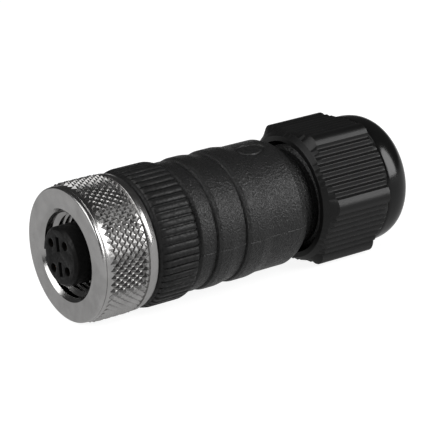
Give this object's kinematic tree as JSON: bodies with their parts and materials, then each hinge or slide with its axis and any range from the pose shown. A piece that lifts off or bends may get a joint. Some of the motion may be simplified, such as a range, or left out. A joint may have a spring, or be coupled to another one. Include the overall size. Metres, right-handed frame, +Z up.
{
  "type": "m12 connector",
  "caption": "Straight field-wireable circular socket connector with a knurled screw coupling nut, ribbed collar, sleeve housing and fluted cable gland nut.",
  "frame": {"origin": "centre of the insert's mating face, on the connector's axis", "axes": "+X along the axis from the mating face to the cable end, +Z up with a flat of the gland nut's hexagon facing -Z, +Y towards the keyway"},
  "size_m": [0.0555, 0.0216, 0.0198],
  "materials": {
    "nickel_plate": "nickel-plated brass, satin",
    "spring_steel": "plain",
    "seal_rubber": "matte",
    "insert_plastic": "satin",
    "contact_gold": "gold-plated",
    "plate_steel": "plain",
    "screw_steel": "nickel-plated",
    "collar_plastic": "fine matte",
    "housing_plastic": "fine spark-eroded texture",
    "cage_plastic": "satin",
    "gland_plastic": "gloss"
  },
  "bodies": {
    "rear_part": {"housing_sleeve": "housing_plastic", "clamp_cage": "cage_plastic", "cable_seal": "seal_rubber"},
    "gland_travel": {"pressure_ring": "cage_plastic"},
    "gland_nut": {"gland_nut": "gland_plastic"},
    "collar_travel": {"housing_seal": "seal_rubber"},
    "front_part": {"grip_collar": "collar_plastic", "contact_insert": "insert_plastic", "contact_1": "contact_gold", "contact_2": "contact_gold", "contact_3": "contact_gold", "contact_4": "contact_gold", "mating_seal": "seal_rubber", "nut_retaining_clip": "spring_steel"},
    "coupling_nut": {"coupling_nut": "nickel_plate"},
    "screw_travel_1": {"wire_plate_1": "plate_steel"},
    "terminal_screw_1": {"terminal_screw_1": "screw_steel"},
    "screw_travel_2": {"wire_plate_2": "plate_steel"},
    "terminal_screw_2": {"terminal_screw_2": "screw_steel"},
    "screw_travel_3": {"wire_plate_3": "plate_steel"},
    "terminal_screw_3": {"terminal_screw_3": "screw_steel"},
    "screw_travel_4": {"wire_plate_4": "plate_steel"},
    "terminal_screw_4": {"terminal_screw_4": "screw_steel"}
  },
  "joints": [
    {"name": "gland_nut_travel", "type": "slide", "parent": "rear_part", "child": "gland_travel", "axis": [1, 0, 0], "range_m": [0, 0.0075]},
    {"name": "gland_nut_turn", "type": "hinge", "parent": "gland_travel", "child": "gland_nut", "pos_m": [0.045, 0, 0], "axis": [1, 0, 0], "range_deg": [0, 1800]},
    {"name": "collar_travel", "type": "slide", "parent": "rear_part", "child": "collar_travel", "axis": [-1, 0, 0], "range_m": [0, 0.003]},
    {"name": "collar_turn", "type": "hinge", "parent": "collar_travel", "child": "front_part", "pos_m": [0.013, 0, 0], "axis": [-1, 0, 0], "range_deg": [0, 1080]},
    {"name": "coupling_nut_turn", "type": "hinge", "parent": "front_part", "child": "coupling_nut", "pos_m": [0.0094, 0, 0], "axis": [1, 0, 0], "continuous": true},
    {"name": "screw_1_travel", "type": "slide", "parent": "front_part", "child": "screw_travel_1", "axis": [0, -0.7466, -0.6652], "range_m": [0, 0.0006]},
    {"name": "screw_1_turn", "type": "hinge", "parent": "screw_travel_1", "child": "terminal_screw_1", "pos_m": [0.0229, 0.00373, 0.00333], "axis": [0, -0.7466, -0.6652], "range_deg": [0, 540]},
    {"name": "screw_2_travel", "type": "slide", "parent": "front_part", "child": "screw_travel_2", "axis": [0, 0.6652, -0.7466], "range_m": [0, 0.0006]},
    {"name": "screw_2_turn", "type": "hinge", "parent": "screw_travel_2", "child": "terminal_screw_2", "pos_m": [0.0229, -0.00333, 0.00373], "axis": [0, 0.6652, -0.7466], "range_deg": [0, 540]},
    {"name": "screw_3_travel", "type": "slide", "parent": "front_part", "child": "screw_travel_3", "axis": [0, 0.7466, 0.6652], "range_m": [0, 0.0006]},
    {"name": "screw_3_turn", "type": "hinge", "parent": "screw_travel_3", "child": "terminal_screw_3", "pos_m": [0.0229, -0.00373, -0.00333], "axis": [0, 0.7466, 0.6652], "range_deg": [0, 540]},
    {"name": "screw_4_travel", "type": "slide", "parent": "front_part", "child": "screw_travel_4", "axis": [0, -0.6652, 0.7466], "range_m": [0, 0.0006]},
    {"name": "screw_4_turn", "type": "hinge", "parent": "screw_travel_4", "child": "terminal_screw_4", "pos_m": [0.0229, 0.00333, -0.00373], "axis": [0, -0.6652, 0.7466], "range_deg": [0, 540]}
  ],
  "couplings": [
    {"joint": "gland_nut_turn", "follows": "gland_nut_travel", "rad_per_m": 4188.8},
    {"joint": "collar_turn", "follows": "collar_travel", "rad_per_m": 6283.2},
    {"joint": "screw_1_turn", "follows": "screw_1_travel", "rad_per_m": 15708},
    {"joint": "screw_2_turn", "follows": "screw_2_travel", "rad_per_m": 15708},
    {"joint": "screw_3_turn", "follows": "screw_3_travel", "rad_per_m": 15708},
    {"joint": "screw_4_turn", "follows": "screw_4_travel", "rad_per_m": 15708}
  ]
}
